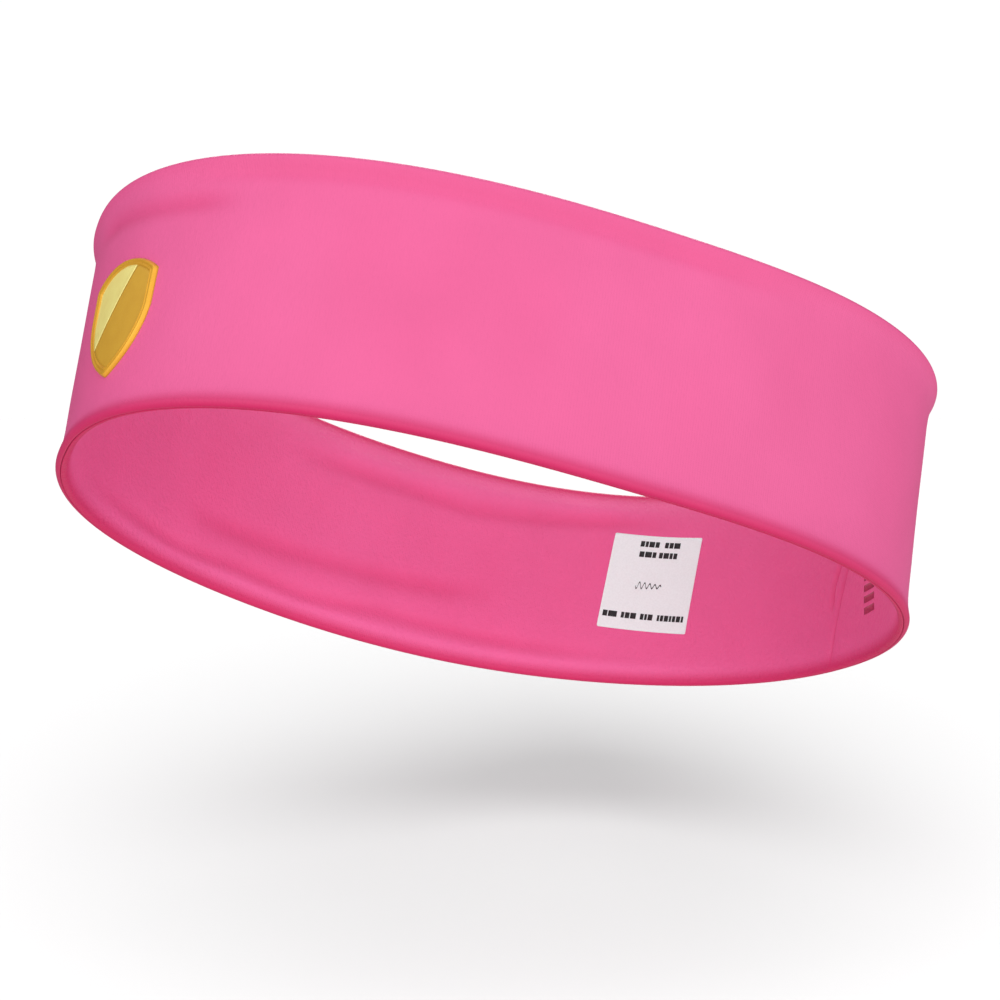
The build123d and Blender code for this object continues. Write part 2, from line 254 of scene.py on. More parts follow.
TABLE_BEARINGS = np.linspace(SEAM_BEARING - 180, SEAM_BEARING + 540, 2881)
TABLE_STEPS = np.diff(wall_point(TABLE_BEARINGS, 0.0, WALL_HEIGHT / 2)[:, :2], axis=0)
TABLE_ARCS = np.concatenate([[0], np.cumsum(np.hypot(TABLE_STEPS[:, 0], TABLE_STEPS[:, 1]))])
TABLE_ARCS -= np.interp(SEAM_BEARING, TABLE_BEARINGS, TABLE_ARCS)
RING_LENGTH = np.interp(SEAM_BEARING + 360, TABLE_BEARINGS, TABLE_ARCS)


def arc_at(bearing):
    """Distance round the ring from the closing seam to a bearing."""
    return np.interp(bearing, TABLE_BEARINGS, TABLE_ARCS)


def bearing_at(arc):
    """The bearing at a distance round the ring from the closing seam."""
    return np.interp(arc, TABLE_ARCS, TABLE_BEARINGS)


def round_the_ring(arc):
    """The same distance, brought into one turn from the closing seam."""
    return np.mod(arc, RING_LENGTH)


# ---- folds and unevenness ----
def fold(arc, height, depth, width, line):
    """How far one fold stands out at each place: a soft ridge or groove that fades at its ends."""
    places = np.array([(arc_at(b), h) for b, h in line])
    lengths = np.hypot(*np.diff(places, axis=0).T)
    starts = np.concatenate([[0], np.cumsum(lengths)])
    nearest = np.full(arc.shape, 1e9)
    along = np.zeros(arc.shape)
    for start, end, length, before in zip(places, places[1:], lengths, starts):
        toward = (end - start) / length
        run = np.clip((arc - start[0]) * toward[0] + (height - start[1]) * toward[1], 0, length)
        away = np.hypot(arc - start[0] - run * toward[0], height - start[1] - run * toward[1])
        closer = away < nearest
        nearest = np.where(closer, away, nearest)
        along = np.where(closer, before + run, along)
    share = along / starts[-1]
    fade = np.clip(np.minimum(share, 1 - share) / FOLD_FADE, 0, 1)
    return depth * np.exp(-((nearest / width) ** 2)) * fade * fade * (3 - 2 * fade)


def unevenness(arc, height):
    """A gentle waviness of hand-sewn knit, less near the rims, which the seams hold."""
    turn = 2 * np.pi * arc / RING_LENGTH
    up = height / WALL_HEIGHT
    total = sum(size * np.sin(count * turn + phase + lean * up) for size, count, phase, lean in WAVES)
    return total * np.sin(np.pi * np.clip(up, 0, 1))


def seam_line_bearing(side, height):
    """Bearing of the closing seam: upright outside, leaning where the inside is pulled askew."""
    leaning = STITCH_BEARING + STITCH_LEAN * np.minimum(height, STITCH_UPRIGHT)
    return SEAM_BEARING if side == OUTSIDE else leaning


def relief(side, arc, height):
    """How far the knit's face stands out of its smooth shape."""
    arc = round_the_ring(arc)
    out = unevenness(arc, height) * side
    for at_side, depth, width, line in FOLDS:
        if at_side == side:
            for turn in (0, RING_LENGTH):
                out = out + fold(arc - turn, height, depth, width, line)
    from_seam = arc - arc_at(seam_line_bearing(side, height))
    from_seam = np.mod(from_seam + RING_LENGTH / 2, RING_LENGTH) - RING_LENGTH / 2
    out = out - SEAM_GROOVE * np.exp(-((from_seam / SEAM_GROOVE_WIDTH) ** 2))
    return out - SEAM_DIP * np.exp(-((from_seam / SEAM_DIP_WIDTH) ** 2))


def face_point(side, arc, height, lift):
    """Points on or above one face of the wall, in metres, folds included."""
    out = half_wall(height) + relief(side, arc, height) + lift
    return wall_point(bearing_at(arc), side * out, height) * MM


# ---- meshes ----
def new_object(name, points, faces, material):
    """An object of a new mesh, shaded smooth."""
    mesh = bpy.data.meshes.new(name)
    mesh.from_pydata([tuple(p) for p in points], [], faces)
    mesh.validate()
    mesh.shade_smooth()
    mesh.materials.append(material)
    obj = bpy.data.objects.new(name, mesh)
    bpy.context.scene.collection.objects.link(obj)
    return obj


def subdivide(obj, levels):
    """Smooths a piece with a subdivision surface."""
    modifier = obj.modifiers.new("smooth", "SUBSURF")
    modifier.levels = levels
    modifier.render_levels = levels


def closed_grid(rows, count):
    """Faces of a closed ring of rows, where each row is a closed ring of points."""
    faces = []
    for j in range(rows):
        above = (j + 1) % rows
        for i in range(count):
            after = (i + 1) % count
            faces.append((j * count + i, j * count + after, above * count + after, above * count + i))
    return faces


def columns():
    """Distances round the ring of the mesh's columns, closer together near the closing seam."""
    fine = np.arange(-FINE_REACH, FINE_REACH, FINE_COLUMN_WIDTH)
    coarse = np.linspace(FINE_REACH, RING_LENGTH - FINE_REACH, int(RING_LENGTH / COLUMN_WIDTH))
    return np.concatenate([fine, coarse[:-1]])


def rim_rows():
    """A rim's rounded edge as (offset, distance past the rim's centre), from face to seam."""
    angles = np.radians(np.linspace(0, RIM_ROLL, RIM_ROWS + 1)[1:])
    rolled = [(RIM_RADIUS * np.cos(a), RIM_RADIUS * np.sin(a)) for a in angles]
    return rolled + list(RIM_DIP)


def hidden_rows():
    """The ply's hidden side near a rim, as (offset, distance inward from the rim's centre)."""
    gap = SEAM_GAP
    channel = [(gap, -0.4), (THREAD_CHANNEL, -0.25), (THREAD_CHANNEL, 0.25), (gap, 0.4)]
    return channel + [(gap, 3.0), (gap, HEM), (half_wall(HEM) - PLY, HEM)]


def panel_rows():
    """A panel's closed outline as rows of (offset, height, share of the face's relief)."""
    face = [(half_wall(h), h, 1) for h in np.linspace(0, WALL_HEIGHT, FACE_ROWS)]
    top = [(o, WALL_HEIGHT + h, 0) for o, h in rim_rows()]
    top += [(o, WALL_HEIGHT - h, 0) for o, h in hidden_rows()]
    heights = np.linspace(WALL_HEIGHT - HEM - HEM_RUN, HEM + HEM_RUN, HIDDEN_ROWS)
    hidden = [(half_wall(h) - PLY, h, 1) for h in heights]
    bottom = [(o, h, 0) for o, h in reversed(hidden_rows())]
    bottom += [(o, -h, 0) for o, h in reversed(rim_rows())]
    return face + top + hidden + bottom


def panel(name, side, material):
    """One knitted panel as a closed shell, with its relief and its rims' painted shade stored for the
    material.
    """
    arcs = columns()
    rows = panel_rows()
    points = []
    reliefs = []
    edges = []
    for offset, height, share in rows:
        heights = np.full(len(arcs), float(height))
        stands_out = relief(side, arcs, np.clip(heights, 0, WALL_HEIGHT))
        near_rim = np.clip(min(height, WALL_HEIGHT - height) / RELIEF_FADE, 0, 1)
        out = offset + share * near_rim * stands_out
        points.append(wall_point(bearing_at(arcs), side * out, heights) * MM)
        # the relief is also stored for painted shade in the folds' grooves and paler crests
        reliefs.append(stands_out * share)
        # painted shade: how much of the darker rim colour is painted on each row, stored as the edge
        # attribute
        past = RIM_RADIUS + min(height, WALL_HEIGHT - height)
        rim_shade_most = OUTER_TOP_SHADE if side == OUTSIDE and height > WALL_HEIGHT / 2 else 1
        edges.append(np.full(len(arcs), rim_shade_most * np.clip(1 - past / RIM_SHADE, 0, 1)))
    faces = [quad[::side] for quad in closed_grid(len(rows), len(arcs))]
    obj = new_object(name, np.concatenate(points), faces, material)
    store_knit_map(obj, arcs, rows, side)
    for label, values in (("relief", reliefs), ("edge", edges)):
        stored = obj.data.attributes.new(label, "FLOAT", "POINT")
        stored.data.foreach_set("value", np.concatenate(values))
    subdivide(obj, 1)
    return obj


def store_knit_map(obj, arcs, rows, side):
    """Lays a flat map of the strip on the panel: u once round the ring, v in metres up it."""
    u_at = np.append((arcs + FINE_REACH) / RING_LENGTH, 1.0)
    line = np.array([(o, h) for o, h, _ in rows])
    v_at = np.concatenate([[0], np.cumsum(np.hypot(*np.diff(line, axis=0).T))]) * MM
    v_at = np.append(v_at, v_at[-1] + MM)
    count = len(arcs)
    layer = obj.data.uv_layers.new(name="knit_map")
    values = []
    for j in range(len(rows)):
        for i in range(count):
            quad = ((i, j), (i + 1, j), (i + 1, j + 1), (i, j + 1))
            values += [(u_at[a], v_at[b]) for a, b in (quad if side == OUTSIDE else quad[::-1])]
    layer.data.foreach_set("uv", np.array(values).ravel())


def film_faces(columns, rows):
    """Faces of a film whose points are two grids: its side toward the knit, and its outer side."""
    grid = columns * rows
    faces = []
    for i in range(columns - 1):
        for j in range(rows - 1):
            a = i * rows + j
            faces.append((a, a + 1, a + rows + 1, a + rows))
            faces.append((grid + a, grid + a + rows, grid + a + rows + 1, grid + a + 1))
        for a, order in ((i * rows, 1), (i * rows + rows - 1, -1)):
            faces.append((a, a + rows, grid + a + rows, grid + a)[::order])
    for i, order in ((0, -1), (columns - 1, 1)):
        for a in range(i * rows, i * rows + rows - 1):
            faces.append((a, a + 1, grid + a + 1, grid + a)[::order])
    return faces


def film(place, across, low, high, rows, bottom, top, turn=0.0, aside=0.0):
    """Points and faces of a thin film on the wall: low and high give its edges at each across,
    and bottom and top give how far its two faces are lifted off the knit at (across, up).
    The film is turned by some degrees, and then moved aside."""
    side, bearing, middle = place
    cos = np.cos(np.radians(turn))
    sin = np.sin(np.radians(turn))
    points = []
    for lift in (bottom, top):
        for x in across:
            ups = np.linspace(low(x), high(x), rows)
            lifts = np.array([lift(x, up) for up in ups])
            arcs = arc_at(bearing) + side * (aside + x * cos - ups * sin)
            points += list(face_point(side, arcs, middle + x * sin + ups * cos, lifts))
    return points, film_faces(len(across), rows)


def film_object(name, parts, material):
    """One object made of several films."""
    points = []
    faces = []
    for part_points, part_faces in parts:
        faces += [tuple(i + len(points) for i in face) for face in part_faces]
        points += part_points
    return new_object(name, points, faces, material)


def level(height):
    """A lift that is the same everywhere."""
    return lambda across, up: height


# ---- the emblem ----
def circle_through(a, b, c):
    """Centre and radius of the circle through three points."""
    a, b, c = np.array(a), np.array(b), np.array(c)
    chords = np.array([b - a, c - b])
    ends = np.array([b @ b - a @ a, c @ c - b @ b])
    centre = np.linalg.solve(chords, ends / 2)
    return centre, np.hypot(*(a - centre))


def shield_outline():
    """A plain shield's outline, anticlockwise: arched top, straight sides and a pointed foot."""
    half = EMBLEM_WIDTH / 2
    tall = EMBLEM_HEIGHT / 2
    top = tall - EMBLEM_ARCH
    shoulder = top * EMBLEM_SHOULDER
    side_bulge = (half * EMBLEM_BULGE[0], (shoulder - tall) * EMBLEM_BULGE[1])
    arch_centre, arch_radius = circle_through((-half, top), (0, tall), (half, top))
    side_centre, side_radius = circle_through((half, shoulder), side_bulge, (0, -tall))
    across = np.linspace(half, -half, 31)
    arch = np.stack([across, arch_centre[1] + np.sqrt(arch_radius**2 - across**2)], -1)
    start = np.arctan2(shoulder - side_centre[1], half - side_centre[0])
    end = np.arctan2(-tall - side_centre[1], -side_centre[0])
    angles = np.linspace(start, end, 27)
    curved = side_centre + side_radius * np.stack([np.cos(angles), np.sin(angles)], -1)
    upright = [(half, up) for up in np.linspace(top, shoulder, 9)[1:-1]]
    side = np.vstack([upright, curved])
    return np.vstack([arch, side * (-1, 1), side[-2::-1]])


def inset(outline, distance):
    """A closed outline drawn in by a distance, with its corners kept sharp."""
    ahead = np.roll(outline, -1, 0) - outline
    ahead /= np.hypot(*ahead.T)[:, None]
    behind = np.roll(ahead, 1, 0)
    inward = np.stack([-(ahead + behind)[:, 1], (ahead + behind)[:, 0]], -1)
    size = np.hypot(*inward.T)
    return outline + inward / size[:, None] * (distance * 2 / size)[:, None]


def edges_of(outline):
    """The lower and upper edges of a rounded anticlockwise outline, as functions of across."""
    ring = np.roll(outline, -outline[:, 0].argmin(), 0)
    furthest = ring[:, 0].argmax()
    lower = ring[:furthest + 1]
    upper = np.vstack([ring[furthest:], ring[:1]])[::-1]
    return (lambda x: np.interp(x, *lower.T)), (lambda x: np.interp(x, *upper.T))


def emblem_border(material):
    """The raised border: two rounded ridges with a groove between them."""
    outline = shield_outline()
    side, bearing, middle = EMBLEM_PLACE
    points = []
    for distance, lift in BORDER_SECTION:
        ring = inset(outline, distance)
        points += list(face_point(side, arc_at(bearing) + ring[:, 0], ring[:, 1] + middle, lift))
    faces = closed_grid(len(BORDER_SECTION), len(outline))
    obj = new_object("emblem_raised_border", points, faces, material)
    subdivide(obj, 1)
    return obj


def emblem_facet(name, hand, material):
    """One facet of the field, to the right (1) or the left (-1) of the leaning ridge."""
    lean = np.radians(SPLIT_LEAN)
    turn = np.array([[np.cos(lean), np.sin(lean)], [-np.sin(lean), np.cos(lean)]])
    outline = (inset(shield_outline(), FIELD_INSET) - (SPLIT_ACROSS, 0)) @ turn
    low, high = edges_of(outline)
    furthest = (outline[:, 0] * hand).max()
    across = np.sort(np.linspace(RIDGE_GAP, furthest - 0.01, FACET_COLUMNS) * hand)

    def facet(x, up):
        return FACET_EDGE + FACET_RISE * (1 - abs(x) / furthest)

    shape = (across, low, high, EMBLEM_ROWS, level(FACET_BOTTOM), facet, -SPLIT_LEAN, SPLIT_ACROSS)
    return film_object(name, [film(EMBLEM_PLACE, *shape)], material)


def emblem_back(material):
    """The dark film under the border, which shows as a thin line round it."""
    low, high = edges_of(inset(shield_outline(), -BACKING_SHOWS))
    reach = EMBLEM_WIDTH / 2 + 0.9 * BACKING_SHOWS
    across = np.linspace(-reach, reach, BACKING_COLUMNS)
    parts = [film(EMBLEM_PLACE, across, low, high, EMBLEM_ROWS, level(0.0), level(BACKING_LIFT))]
    return film_object("emblem_film", parts, material)


# ---- the label and the size mark ----
def label_film(material):
    """The white film, with small rounded corners and knit pressing through it."""
    half = LABEL_WIDTH / 2
    tall = LABEL_HEIGHT / 2

    def high(x):
        past = max(abs(x) - half + LABEL_CORNER, 0)
        return tall - LABEL_CORNER + np.sqrt(max(LABEL_CORNER**2 - past**2, 0))

    def low(x):
        return -high(x)

    corner = half - LABEL_CORNER * (1 - np.cos(np.linspace(0, np.pi / 2, 5)))
    between = np.linspace(-corner[-1], corner[-1], LABEL_COLUMNS)[1:-1]
    across = np.concatenate([-corner, between, corner[::-1]])
    lifts = (level(LABEL_BOTTOM), level(LABEL_LIFT))
    parts = [film(LABEL_PLACE, across, low, high, LABEL_ROWS, *lifts, LABEL_TURN)]
    return film_object("label_print_film", parts, material)


def block(place, turn, across, up, length, height, lift):
    """One small printed block."""
    half = length / 2
    columns_across = np.linspace(across - half, across + half, max(2, int(length / BLOCK_STEP) + 1))
    edges = (lambda x: up - height / 2), (lambda x: up + height / 2)
    return film(place, columns_across, *edges, 4, level(lift - INK), level(lift), turn)


def printed_word(place, turn, bar, lift):
    """A row of plain blocks of differing widths, as wide as the printed bar."""
    across, up, length, height, blocks = bar
    weights = np.array([1.0 + 0.35 * np.sin(2.1 * k + across + up) for k in range(blocks)])
    widths = weights / weights.sum() * (length - BLOCK_GAP * (blocks - 1))
    start = across - length / 2
    parts = []
    for width in widths:
        parts.append(block(place, turn, start + width / 2, up, width, height, lift))
        start += width + BLOCK_GAP
    return parts


def printed_wave(place, turn, bar, lift):
    """A thin wavy line, as long and tall as the printed bar."""
    across, up, length, height, _ = bar
    line = np.linspace(across - length / 2, across + length / 2, 61)

    def middle(x):
        share = (x - across) / length
        return up + height * WAVE_SWING * np.sin(share * WAVE_RADIANS) * (1 - WAVE_CALMS * share)

    edges = (lambda x: middle(x) - WAVE_LINE / 2), (lambda x: middle(x) + WAVE_LINE / 2)
    return [film(place, line, *edges, 3, level(lift - INK), level(lift), turn)]


# ---- stitches ----
def tube(path, radius, sides=8):
    """Points and faces of a round tube along a path, with closed ends."""
    path = [Vector(p) for p in path]
    points = []
    for i, p in enumerate(path):
        ahead = (path[min(i + 1, len(path) - 1)] - path[max(i - 1, 0)]).normalized()
        side = ahead.cross(Vector((0.3, 0.9, 0.1))).normalized()
        up = side.cross(ahead)
        for k in range(sides):
            turn = 2 * np.pi * k / sides
            points.append(p + (side * np.cos(turn) + up * np.sin(turn)) * radius)
    faces = []
    last = (len(path) - 1) * sides
    for start in range(0, last, sides):
        for k in range(sides):
            after = (k + 1) % sides
            faces.append((start + k, start + after, start + sides + after, start + sides + k))
    faces.append(tuple(range(sides))[::-1])
    faces.append(tuple(last + k for k in range(sides)))
    return points, faces


def gap_stitches(material):
    """The short stitches inside that close the gap through which the ring was turned."""
    parts = []
    for start in np.arange(STITCH_LOW, STITCH_HIGH, STITCH_PITCH):
        heights = start + np.linspace(0, STITCH_PITCH * STITCH_SHARE, 5)
        lifts = STITCH_ARCH * np.sin(np.linspace(0, np.pi, 5)) - STITCH_SINK
        arcs = arc_at(seam_line_bearing(INSIDE, heights))
        path = face_point(INSIDE, arcs, heights, lifts)
        parts.append(tube(path, STITCH_RADIUS * MM))
    return film_object("turning_gap_stitches", parts, material)


# ---- materials ----
def add(tree, kind, inputs=None, **settings):
    """A shader node with its settings, and its inputs given as numbers or other nodes' outputs."""
    node = tree.nodes.new(kind)
    for key, value in settings.items():
        setattr(node, key, value)
    for key, value in (inputs or {}).items():
        if isinstance(value, bpy.types.NodeSocket):
            tree.links.new(value, node.inputs[key])
        else:
            node.inputs[key].default_value = value
    return node


def math(tree, operation, *values):
    """A maths node's result."""
    return add(tree, "ShaderNodeMath", dict(enumerate(values)), operation=operation).outputs[0]


def blend_colours(tree, share, one, other, how="MIX"):
    """A mix of two colours."""
    node = tree.nodes.new("ShaderNodeMix")
    node.data_type = "RGBA"
    node.blend_type = how
    for index, value in ((0, share), (6, one), (7, other)):
        if isinstance(value, bpy.types.NodeSocket):
            tree.links.new(value, node.inputs[index])
        else:
            node.inputs[index].default_value = value if index == 0 else (*value, 1)
    return node.outputs[2]


def noise(tree, scale, detail, vector=None):
    """Noise of features 1/scale metres apart."""
    inputs = {"Scale": scale, "Detail": detail}
    place = vector or add(tree, "ShaderNodeTexCoord").outputs["Object"]
    return add(tree, "ShaderNodeTexNoise", {**inputs, "Vector": place}).outputs["Fac"]


def ramp(tree, value, low, high, to_low=0.0, to_high=1.0):
    """A value stretched from one range to another, and kept inside it."""
    inputs = {"Value": value, "From Min": low, "From Max": high, "To Min": to_low, "To Max": to_high}
    return add(tree, "ShaderNodeMapRange", inputs).outputs["Result"]


def finish(name, roughness, metallic=0.0):
    """A new material, its node tree and its shader."""
    made = bpy.data.materials.new(name)
    made.use_nodes = True
    tree = made.node_tree
    shader = tree.nodes["Principled BSDF"]
    shader.inputs["Roughness"].default_value = roughness
    shader.inputs["Metallic"].default_value = metallic
    return made, tree, shader


def knit_surface(tree, ribs, loops, mottle):
    """Height of the knit's surface: upright ribs of V-shaped loops, fuzz and small lumps."""
    place = add(tree, "ShaderNodeUVMap", uv_map="knit_map").outputs["UV"]
    parts = add(tree, "ShaderNodeSeparateXYZ", {0: place})
    across = math(tree, "FRACT", math(tree, "MULTIPLY", parts.outputs[0], WALES))
    from_middle = math(tree, "ABSOLUTE", math(tree, "SUBTRACT", across, 0.5))
    rib = math(tree, "SINE", math(tree, "MULTIPLY", across, np.pi))
    row = math(tree, "DIVIDE", parts.outputs[1], COURSE * MM)
    course = math(tree, "ADD", row, math(tree, "MULTIPLY", from_middle, LOOP_SLANT))
    loop = math(tree, "SINE", math(tree, "MULTIPLY", math(tree, "FRACT", course), np.pi))
    surface = math(tree, "ADD", math(tree, "MULTIPLY", rib, ribs), math(tree, "MULTIPLY", loop, loops))
    fuzz = math(tree, "MULTIPLY", noise(tree, 2500, 3), 0.5)
    lumps = math(tree, "MULTIPLY", noise(tree, 1100, 2), mottle)
    return math(tree, "ADD", surface, math(tree, "ADD", fuzz, lumps))


def knit_colour(tree, base, surface):
    """Colour of the knit: deeper with painted shade in its folds' grooves, at its rims and between its
    ribs and loops, paler on the folds' crests, and unevenly dyed.
    """
    # painted shade in the folds' grooves, and paler on their crests, by the stored relief
    deep = tuple(c * k for c, k in zip(base, (0.93, 0.72, 0.80)))
    pale = tuple(min(c * k, 1) for c, k in zip(base, (1.02, 1.18, 1.10)))
    stands_out = add(tree, "ShaderNodeAttribute", attribute_name="relief").outputs["Fac"]
    colour = blend_colours(tree, ramp(tree, stands_out, -0.9, 0.6), deep, pale)
    # painted shade: the knit is darkened toward a deeper rim colour near each rim
    rim_shade_share = add(tree, "ShaderNodeAttribute", attribute_name="edge").outputs["Fac"]
    rim_shade_colour = tuple(c * k for c, k in zip(base, RIM_PAINTED_SHADE))
    colour = blend_colours(tree, rim_shade_share, colour, rim_shade_colour)
    # painted shade: darker between the knit's ribs and loops, slightly paler on them
    between = ramp(tree, surface, 0.1, 1.2, 0.94, 1.02)
    uneven = ramp(tree, noise(tree, 60, 4), 0.3, 0.7, 0.975, 1.02)
    shade = math(tree, "MULTIPLY", between, uneven)
    grey = add(tree, "ShaderNodeCombineColor", {0: shade, 1: shade, 2: shade}).outputs[0]
    return blend_colours(tree, 1.0, colour, grey, "MULTIPLY")


def knit(name, base, ribs, loops, mottle):
    """Fine weft knit."""
    made, tree, shader = finish(name, 0.52)
    shader.inputs["Specular IOR Level"].default_value = 0.35
    surface = knit_surface(tree, ribs, loops, mottle)
    inputs = {"Height": surface, "Strength": 1.0, "Distance": KNIT_BUMP * MM}
    bump = add(tree, "ShaderNodeBump", inputs)
    tree.links.new(bump.outputs[0], shader.inputs["Normal"])
    tree.links.new(knit_colour(tree, base, surface), shader.inputs["Base Color"])
    return made


def thread(name, base):
    """Twisted sewing thread."""
    made, tree, shader = finish(name, 0.55)
    place = add(tree, "ShaderNodeTexCoord").outputs["Object"]
    inputs = {"Vector": place, "Scale": 3000.0, "Distortion": 1.0}
    strands = add(tree, "ShaderNodeTexWave", inputs, bands_direction="DIAGONAL").outputs["Fac"]
    dark = tuple(c * 0.7 for c in base)
    tree.links.new(blend_colours(tree, strands, dark, base), shader.inputs["Base Color"])
    bump = add(tree, "ShaderNodeBump", {"Height": strands, "Distance": THREAD_BUMP * MM})
    tree.links.new(bump.outputs[0], shader.inputs["Normal"])
    return made


def gold(name, base, roughness, metallic):
    """Satin gold foil, slightly cloudy, with fine brushing."""
    made, tree, shader = finish(name, roughness, metallic)
    cloudy = ramp(tree, noise(tree, 300, 3), 0.3, 0.7)
    dark = tuple(c * k for c, k in zip(base, (0.95, 0.91, 0.86)))
    tree.links.new(blend_colours(tree, cloudy, dark, base), shader.inputs["Base Color"])
    brushed = noise(tree, 3000, 2)
    rougher = ramp(tree, brushed, 0.3, 0.7, roughness - 0.05, roughness + 0.08)
    tree.links.new(rougher, shader.inputs["Roughness"])
    bump = add(tree, "ShaderNodeBump", {"Height": brushed, "Distance": FOIL_BUMP * MM})
    tree.links.new(bump.outputs[0], shader.inputs["Normal"])
    return made


def print_film(name, base, speckle, roughness=0.6):
    """Printed film that lets the knit's grain through."""
    made, tree, shader = finish(name, roughness)
    grain = noise(tree, 1800, 2)
    dark = tuple(c * (1 - speckle) for c in base)
    colour = blend_colours(tree, ramp(tree, grain, 0.35, 0.65), dark, base)
    tree.links.new(colour, shader.inputs["Base Color"])
    bump = add(tree, "ShaderNodeBump", {"Height": grain, "Distance": PRINT_BUMP * MM})
    tree.links.new(bump.outputs[0], shader.inputs["Normal"])
    return made


# ---- camera, floor and light ----
def camera_axes():
    """The camera's right, up and backward directions."""
    bearing = np.radians(CAMERA_BEARING)
    rise = np.radians(CAMERA_RISE)
    roll = np.radians(CAMERA_ROLL)
    back = Vector((np.sin(bearing) * np.cos(rise), -np.cos(bearing) * np.cos(rise), np.sin(rise)))
    level_right = Vector((0, 0, 1)).cross(back).normalized()
    level_up = back.cross(level_right)
    right = level_right * np.cos(roll) + level_up * np.sin(roll)
    up = -level_right * np.sin(roll) + level_up * np.cos(roll)
    return right, up, back


def place_matrix(right, up, back, middle):
    """A matrix that puts an object at a point, given in millimetres, with the given axes."""
    turn = Matrix((right, up, back)).transposed()
    return Matrix.Translation(Vector(middle) * MM) @ turn.to_4x4()


def make_camera():
    """The camera, on the ring's +X side, a little toward the forehead and below."""
    right, up, back = camera_axes()
    aim = RING_MIDDLE + right * CAMERA_AIM[0] + up * CAMERA_AIM[1]
    data = bpy.data.cameras.new("camera")
    data.lens = CAMERA_LENS
    data.clip_start = 0.01
    camera = bpy.data.objects.new("camera", data)
    camera.matrix_world = place_matrix(right, up, back, aim + back * CAMERA_DISTANCE)
    bpy.context.scene.collection.objects.link(camera)
    bpy.context.scene.camera = camera


def floor_normal():
    """The direction that is upright in the camera's view, leaning toward the camera."""
    _, up, back = camera_axes()
    slant = np.radians(FLOOR_SLANT)
    return (up * np.cos(slant) + back * np.sin(slant)).normalized()


def make_floor():
    """A plain floor, level in the camera's view, that shows from above only."""
    right, _, _ = camera_axes()
    upright = floor_normal()
    half = FLOOR_SIZE / 2 * MM
    made, tree, shader = finish("floor_white", 0.9)
    shader.inputs["Base Color"].default_value = (FLOOR_GREY, FLOOR_GREY, FLOOR_GREY, 1)
    shader.inputs["Specular IOR Level"].default_value = 0.0
    behind = add(tree, "ShaderNodeNewGeometry").outputs["Backfacing"]
    clear = add(tree, "ShaderNodeBsdfTransparent").outputs[0]
    both = add(tree, "ShaderNodeMixShader", {0: behind, 1: shader.outputs[0], 2: clear}).outputs[0]
    tree.links.new(both, tree.nodes["Material Output"].inputs["Surface"])
    corners = [(-half, -half, 0), (half, -half, 0), (half, half, 0), (-half, half, 0)]
    floor = new_object("floor", corners, [(0, 1, 2, 3)], made)
    ahead = upright.cross(right)
    floor.matrix_world = place_matrix(right, ahead, upright, RING_MIDDLE - upright * FLOOR_DROP)
    floor.visible_shadow = False
    floor.visible_diffuse = False
    floor.visible_glossy = False
    return floor


def lit_by(floor, state):
    """A light-linking collection that has only the floor in it, or everything but the floor."""
    group = bpy.data.collections.new(f"floor_{state.lower()}")
    group.objects.link(floor)
    group.collection_objects[0].light_linking.link_state = state
    return group


def place_light(data, toward, receivers):
    """Puts a light on one side of the ring, facing it, for the objects that it is to light."""
    lamp = bpy.data.objects.new(data.name, data)
    back = Vector(toward).normalized()
    right = Vector((0, 0, 1)).cross(back).normalized()
    middle = RING_MIDDLE + back * LIGHT_DISTANCE
    lamp.matrix_world = place_matrix(right, back.cross(right), back, middle)
    lamp.light_linking.receiver_collection = receivers
    bpy.context.scene.collection.objects.link(lamp)


def soft_box(name, toward, power, receivers):
    """A square soft light that faces the ring from a direction."""
    data = bpy.data.lights.new(name, "AREA")
    data.energy = power
    data.size = SOFT_BOX_SIZE
    place_light(data, toward, receivers)


def floor_light(name, toward, strength, receivers, shadow):
    """Even light on the floor from a wide patch of sky."""
    data = bpy.data.lights.new(name, "SUN")
    data.energy = strength
    data.angle = np.radians(FLOOR_LIGHT_WIDTH)
    data.use_shadow = shadow
    place_light(data, toward, receivers)


def glow(tree, direction, strength, power):
    """Light from the surround that is strongest in one direction and fades away from it."""
    place = add(tree, "ShaderNodeTexCoord").outputs["Generated"]
    inputs = {0: place, 1: tuple(direction.normalized())}
    toward = add(tree, "ShaderNodeVectorMath", inputs, operation="DOT_PRODUCT").outputs["Value"]
    falloff = math(tree, "POWER", math(tree, "MAXIMUM", toward, 0.0), power)
    return math(tree, "MULTIPLY", falloff, strength)


def make_surround():
    """A white studio: light from above and from both sides of the camera, a pale floor's bounce,
    and a plain white backdrop."""
    right, _, back = camera_axes()
    upright = floor_normal()
    world = bpy.data.worlds.new("surround")
    world.use_nodes = True
    tree = world.node_tree
    # Each glow: its direction, its strength there, and the power that it falls away by.
    glows = (
        (upright, 0.41, 1),
        (-upright, 0.82, 1),
        (back * 1.2 - right, 0.45, 2),
        (back * 1.2 + right, 1.33, 2),
    )
    light = 0.0
    for direction, strength, power in glows:
        light = math(tree, "ADD", light, glow(tree, direction, strength, power))
    seen = add(tree, "ShaderNodeLightPath").outputs["Is Camera Ray"]
    inputs = {"Factor": seen, "A": light, "B": BACKDROP}
    strength = add(tree, "ShaderNodeMix", inputs).outputs["Result"]
    tree.links.new(strength, tree.nodes["Background"].inputs["Strength"])
    tree.nodes["Background"].inputs["Color"].default_value = (1, 1, 1, 1)
    bpy.context.scene.world = world
    bpy.context.scene.view_settings.view_transform = "Standard"


